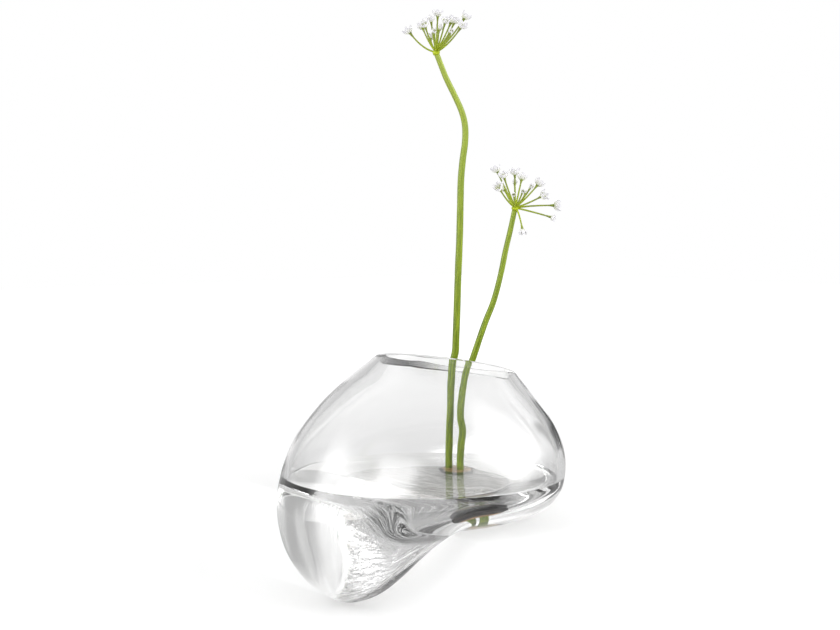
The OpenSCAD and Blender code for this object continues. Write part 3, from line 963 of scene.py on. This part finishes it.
# Painted shade: the faint lilac-grey at the tip end
ramp.elements[1].color = linear("#F0EFF4")
ramp.elements.new(0.22).color = linear("#F4F5EA")
ramp.elements.new(0.6).color = linear("#FAF9FB")
flower_colour = add(
    tree, "ShaderNodeMix", {0: parts.outputs["Z"], 6: linear("#C6CE86"), 7: petal_colour}, data_type="RGBA"
).outputs[2]
vein_light = add(
    tree, "ShaderNodeMapRange",
    {"From Min": 0.3, "From Max": 0.7, "To Min": 0.97, "To Max": 1.02, "Value": veins},
)
veined = add(
    tree, "ShaderNodeMix", {0: 1, 6: flower_colour, 7: vein_light}, data_type="RGBA", blend_type="MULTIPLY"
).outputs[2]
petal_bump = add(tree, "ShaderNodeBump", {"Strength": 0.2, "Distance": vein_h, "Height": veins})
body = add(
    tree, "ShaderNodeBsdfPrincipled",
    {"Roughness": 0.7, "Specular IOR Level": 0.3, "Base Color": veined, "Normal": petal_bump},
)
lit_through = add(tree, "ShaderNodeBsdfTranslucent", {"Color": veined})
both = add(tree, "ShaderNodeMixShader", {0: lit_through_share, 1: body, 2: lit_through})
add(tree, "ShaderNodeOutputMaterial", {"Surface": both})

for name, flower, table in (
    ("tall_florets", "tall_flower", tall_ray_shares),
    ("short_florets", "short_flower", short_ray_shares),
):
    bunch = bmesh.new()
    bunch.verts.layers.float_vector.new("petal")
    bunch.verts.layers.float_vector.new("straight")
    for number, shares in enumerate(table):
        course = ray_course(heads[flower], shares)
        up = (course[-1] - course[-2]).normalized()
        place = Matrix.LocRotScale(course[-1], up.to_track_quat("Z", "Y"), None)
        floret(bunch, shares[4], ray_radii(shares[4])[-1], place, number + len(table))
    bmesh.ops.recalc_face_normals(bunch, faces=bunch.faces)
    for f in bunch.faces:
        f.smooth = True
    for e in bunch.edges:
        e.smooth = e.calc_face_angle(0) < petal_crease
    piece = make_piece(bunch, name + "_petals")
    piece.data.materials.append(white_petal)
    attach(piece, flower)
    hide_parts(name)


# Shelf and floor
# A plain white sheet that the vase rests on. It runs level under the seat, drops along
# the fold and runs on under the lobe.
sheet_reach = 3.0
sheet_gap = 0.3 * mm
slope_steps = 48
sheet = bmesh.new()
profile = [Vector((-sheet_reach, 0))]
for i in range(slope_steps + 1):
    share = i / slope_steps
    profile.append(Vector((fold_out - fold_reach + 2 * fold_reach * share, -lobe_drop * edge_drop(share))))
profile.append(Vector((sheet_reach, -lobe_drop)))
line = []
for p in profile:
    flat = p.x * lobe_out - sheet_reach * lobe_along
    line.append(sheet.verts.new((flat.x, flat.y, p.y - sheet_gap)))
edges = [sheet.edges.new(pair) for pair in zip(line, line[1:])]
moved = bmesh.ops.extrude_edge_only(sheet, edges=edges)["geom"]
bmesh.ops.translate(
    sheet, verts=[g for g in moved if isinstance(g, bmesh.types.BMVert)],
    vec=(2 * sheet_reach * lobe_along.x, 2 * sheet_reach * lobe_along.y, 0),
)
bmesh.ops.recalc_face_normals(sheet, faces=sheet.faces)
for f in sheet.faces:
    f.smooth = True
ground_sheet = make_piece(sheet, "white_sheet")

# Matt white paper that also glows, so the camera sees it almost white. For rays mirrored or bent by the
# glass it carries painted light and shade: painted brightness near the vase and right behind it, and painted
# grey shade at its sides.
white_sheet, tree = start_material("white_paper_with_painted_light")
painted_back_tone = 0.93
painted_side_shade_tone = 0.62
back_half_turn = math.radians(27)
back_fade = math.radians(7)
under_reach = 0.13
under_fade = 0.02
painted_glow_under_vase = 0.08
near_lift = 0.2
far_lift = 0.6
far_from = 0.3
far_to = 1.3
slope_mid = 31 * mm
slope_half_w = 6.5 * mm
slope_fade = 1.5 * mm
slope_dim_from = -50 * mm
slope_dim_to = -40 * mm
painted_slope_shade_tone = 0.5
painted_strip_deep_tone = 0.15
shade_turn = math.radians(23.75)
shade_half_turn = math.radians(7.25)
shade_fade = math.radians(1.5)
shade_reach = 0.95
shade_reach_fade = 0.25
place = add(tree, "ShaderNodeTexCoord").outputs["Object"]
reach = add(tree, "ShaderNodeVectorMath", {0: place}, operation="LENGTH").outputs["Value"]
sides = add(tree, "ShaderNodeSeparateXYZ", {"Vector": place}).outputs
heading = add(tree, "ShaderNodeMath", {0: sides["X"], 1: sides["Y"]}, operation="ARCTAN2")


def near(value, middle, half, soft):
    """1 where a value lies within half a width of a middle, falling softly to 0 beyond it."""
    off = add(tree, "ShaderNodeMath", {0: value, 1: middle}, operation="SUBTRACT")
    size = add(tree, "ShaderNodeMath", {0: off}, operation="ABSOLUTE")
    return add(
        tree, "ShaderNodeMapRange", {"From Min": half + soft, "From Max": half - soft, "Value": size},
        interpolation_type="SMOOTHSTEP",
    )


# Painted light and shade for the glass: bright right behind the vase and round its foot, grey at the sides
behind = near(heading, 0, back_half_turn, back_fade)
painted_heading_tone = add(tree, "ShaderNodeMapRange", {"To Min": painted_side_shade_tone, "To Max": painted_back_tone, "Value": behind})
under = near(reach, 0, under_reach, under_fade)
painted_tone = add(tree, "ShaderNodeMath", {0: painted_heading_tone, 1: under}, operation="MAXIMUM")

# Painted shade: the left end of the slope that drops past the edge is darker
outward, sideways = (
    add(
        tree, "ShaderNodeVectorMath", {0: place, 1: (axis.x, axis.y, 0)}, operation="DOT_PRODUCT"
    ).outputs["Value"]
    for axis in (lobe_out, lobe_along)
)
on_slope = near(outward, slope_mid, slope_half_w, slope_fade)
on_slope = add(tree, "ShaderNodeMath", {0: on_slope, 1: under}, operation="MULTIPLY")
painted_slope_shade = add(
    tree, "ShaderNodeMapRange",
    {"From Min": slope_dim_from, "From Max": slope_dim_to, "To Min": painted_slope_shade_tone, "Value": sideways},
    interpolation_type="SMOOTHSTEP",
)
painted_slope_shade = add(tree, "ShaderNodeMix", {0: on_slope, 2: 1, 3: painted_slope_shade})
painted_tone = add(tree, "ShaderNodeMath", {0: painted_tone, 1: painted_slope_shade}, operation="MULTIPLY")

# Painted shade: a strip far off at the right is darker
in_painted_shade = near(heading, shade_turn, shade_half_turn, shade_fade)
painted_strip_shade = add(tree, "ShaderNodeMapRange", {"To Min": 1, "To Max": painted_strip_deep_tone, "Value": in_painted_shade})
close = near(reach, 0, shade_reach, shade_reach_fade)
painted_strip_shade = add(tree, "ShaderNodeMix", {0: close, 2: painted_strip_shade, 3: 1})
painted_tone = add(tree, "ShaderNodeMath", {0: painted_tone, 1: painted_strip_shade}, operation="MULTIPLY")

paths = add(tree, "ShaderNodeLightPath").outputs
through_glass = add(
    tree, "ShaderNodeMath", {0: paths["Is Glossy Ray"], 1: paths["Is Transmission Ray"]}, operation="MAXIMUM"
)
kept = add(tree, "ShaderNodeMix", {0: through_glass, 2: 1, 3: painted_tone})
paper_and_painted_tone = add(tree, "ShaderNodeMath", {0: kept, 1: linear("#F2F2F2")[0]}, operation="MULTIPLY")
painted_glass_ray_tone = add(tree, "ShaderNodeMath", {0: through_glass, 1: painted_tone}, operation="MULTIPLY")
lifted = add(tree, "ShaderNodeMath", {0: painted_glass_ray_tone, 1: paths["Is Camera Ray"]}, operation="ADD")
lift = add(
    tree, "ShaderNodeMapRange",
    {"From Min": far_from, "From Max": far_to, "To Min": near_lift, "To Max": far_lift, "Value": reach},
)
# Painted pool of light: the glass sees the sheet glowing brighter round the vase's foot
painted_glow_near_vase = add(tree, "ShaderNodeMath", {0: under, 1: painted_glow_under_vase}, operation="MULTIPLY")
painted_glow_near_vase = add(tree, "ShaderNodeMath", {0: painted_glass_ray_tone, 1: painted_glow_near_vase}, operation="MULTIPLY")
lift = add(tree, "ShaderNodeMath", {0: lifted, 1: lift, 2: painted_glow_near_vase}, operation="MULTIPLY_ADD")
paper = add(tree, "ShaderNodeBsdfDiffuse", {"Color": paper_and_painted_tone})
# The glow lifts the sheet to white for the camera, and for the glass it adds the painted light and shade
# above
white_lift_and_painted_glow = add(tree, "ShaderNodeEmission", {"Color": (1, 1, 1, 1), "Strength": lift})
both = add(tree, "ShaderNodeAddShader", {0: paper, 1: white_lift_and_painted_glow})
add(tree, "ShaderNodeOutputMaterial", {"Surface": both})
ground_sheet.data.materials.append(white_sheet)


# Studio
# A grey room with a white wall behind the vase. Large soft boxes stand at the left front,
# at the right and high in front, and only the glass mirrors them.
room_tone = 0.66
wall_tone = 0.95
wall_half_turn = math.radians(25)
wall_top = 0.17
wall_soft = 0.07
dark_tone = 0.3
dark_from = 0.1
dark_to = -0.4
dark_half_w = 0.42
dark_soft = 0.22
fill_tone = 0.66
lamp_aim = Vector((0, 0, 80 * mm))
lamps = (
    ("right_lamp", (0.9, -0.7, 0.7), (0.5, 0.8), 9),
    ("left_lamp", (-0.9, -0.6, 0.8), (0.6, 0.6), 5),
)
# For each soft box its direction, half its width and height, its soft edge, tone and turn
soft_boxes = (
    ((-0.86, -0.4, 0.05), 0.5, 0.55, 0.16, 4.5, 0),
    ((0.82, -0.02, 0.58), 0.3, 0.38, 0.18, 4.5, math.radians(-25)),
    ((-0.36, -0.68, 0.66), 0.24, 0.2, 0.12, 5, 0),
)
# A dark flag low at the right and a dark roof above the wall: for each its turn, half its
# width and soft edge in degrees, then its rise, half its height and soft edge, and its tone
dark_patches = (
    (24, 7, 2, 0.02, 0.09, 0.03, 0.15),
    (-9, 9, 6, 0.46, 0.14, 0.06, 0.62),
)

# Oblong lamps light the flowers and the sheet and aren't seen themselves
for name, place, size, power in lamps:
    data = bpy.data.lights.new(name, "AREA")
    data.shape = "RECTANGLE"
    data.size, data.size_y = size
    data.energy = power
    lamp = bpy.data.objects.new(name, data)
    lamp.location = place
    lamp.rotation_euler = (lamp_aim - Vector(place)).to_track_quat("-Z", "Y").to_euler()
    lamp.visible_camera = False
    lamp.visible_glossy = False
    lamp.visible_transmission = False
    scene.collection.objects.link(lamp)

# What stands round the vase is only a tone for each direction
world = bpy.data.worlds.new("studio_room")
world.use_nodes = True
scene.world = world
tree = world.node_tree
tree.nodes.clear()
towards = add(tree, "ShaderNodeTexCoord").outputs["Generated"]
sides = add(tree, "ShaderNodeSeparateXYZ", {"Vector": towards}).outputs
turned = add(tree, "ShaderNodeMath", {0: sides["X"], 1: sides["Y"]}, operation="ARCTAN2")

# The wall is the brightest part of the room
wall_low = add(
    tree, "ShaderNodeMapRange",
    {"From Min": wall_top + wall_soft, "From Max": wall_top - wall_soft, "Value": sides["Z"]},
    interpolation_type="SMOOTHSTEP",
)
wall_side = near(turned, 0, wall_half_turn, wall_soft)
wall_seen = add(tree, "ShaderNodeMath", {0: wall_side, 1: wall_low}, operation="MULTIPLY")
tone = add(tree, "ShaderNodeMapRange", {"To Min": room_tone, "To Max": wall_tone, "Value": wall_seen})
for turn, half_w, w_soft, rise, half_h, h_soft, patch_tone in dark_patches:
    across = near(turned, math.radians(turn), math.radians(half_w), math.radians(w_soft))
    patch = near(sides["Z"], rise, half_h, h_soft)
    patch = add(tree, "ShaderNodeMath", {0: across, 1: patch}, operation="MULTIPLY")
    kept = add(tree, "ShaderNodeMapRange", {"To Min": 1, "To Max": patch_tone, "Value": patch})
    tone = add(tree, "ShaderNodeMath", {0: tone, 1: kept}, operation="MULTIPLY")

# Behind the camera the room is dark
in_front = add(
    tree, "ShaderNodeMapRange", {"From Min": dark_from, "From Max": dark_to, "Value": sides["Y"]},
    interpolation_type="SMOOTHSTEP",
)
dark = near(sides["X"], 0, dark_half_w, dark_soft)
dark = add(tree, "ShaderNodeMath", {0: in_front, 1: dark}, operation="MULTIPLY")
kept = add(tree, "ShaderNodeMapRange", {"To Min": 1, "To Max": dark_tone, "Value": dark})
tone = add(tree, "ShaderNodeMath", {0: tone, 1: kept}, operation="MULTIPLY")

# The soft boxes add their light where the seen direction runs ahead towards them
for centre, half_w, half_h, soft, box_tone, turn in soft_boxes:
    centre = Vector(centre).normalized()
    side = centre.cross(Vector((0, 0, 1))).normalized()
    up = side.cross(centre)
    axes = (centre, math.cos(turn) * side + math.sin(turn) * up, math.cos(turn) * up - math.sin(turn) * side)
    ahead, across, above = (
        add(tree, "ShaderNodeVectorMath", {0: towards, 1: axis}, operation="DOT_PRODUCT").outputs["Value"]
        for axis in axes
    )
    ahead = add(tree, "ShaderNodeMath", {0: ahead, 1: 0}, operation="GREATER_THAN")
    ahead = add(tree, "ShaderNodeMath", {0: ahead, 1: box_tone}, operation="MULTIPLY")
    wide, high = near(across, 0, half_w, soft), near(above, 0, half_h, soft)
    patch = add(tree, "ShaderNodeMath", {0: wide, 1: high}, operation="MULTIPLY")
    tone = add(tree, "ShaderNodeMath", {0: patch, 1: ahead, 2: tone}, operation="MULTIPLY_ADD")

# The camera sees plain white. Mirrored and bent rays see the room, and the rest an even fill
paths = add(tree, "ShaderNodeLightPath").outputs
seen = paths["Is Camera Ray"]
tone = add(tree, "ShaderNodeMath", {0: tone, 1: seen}, operation="MAXIMUM")
for ray in ("Is Glossy Ray", "Is Transmission Ray"):
    seen = add(tree, "ShaderNodeMath", {0: seen, 1: paths[ray]}, operation="MAXIMUM")
room = add(tree, "ShaderNodeBackground", {"Color": (1, 1, 1, 1), "Strength": tone})
fill = add(tree, "ShaderNodeBackground", {"Color": (1, 1, 1, 1), "Strength": fill_tone})
both = add(tree, "ShaderNodeMixShader", {0: seen, 1: fill, 2: room})
add(tree, "ShaderNodeOutputWorld", {"Surface": both})
scene.view_settings.view_transform = "Standard"
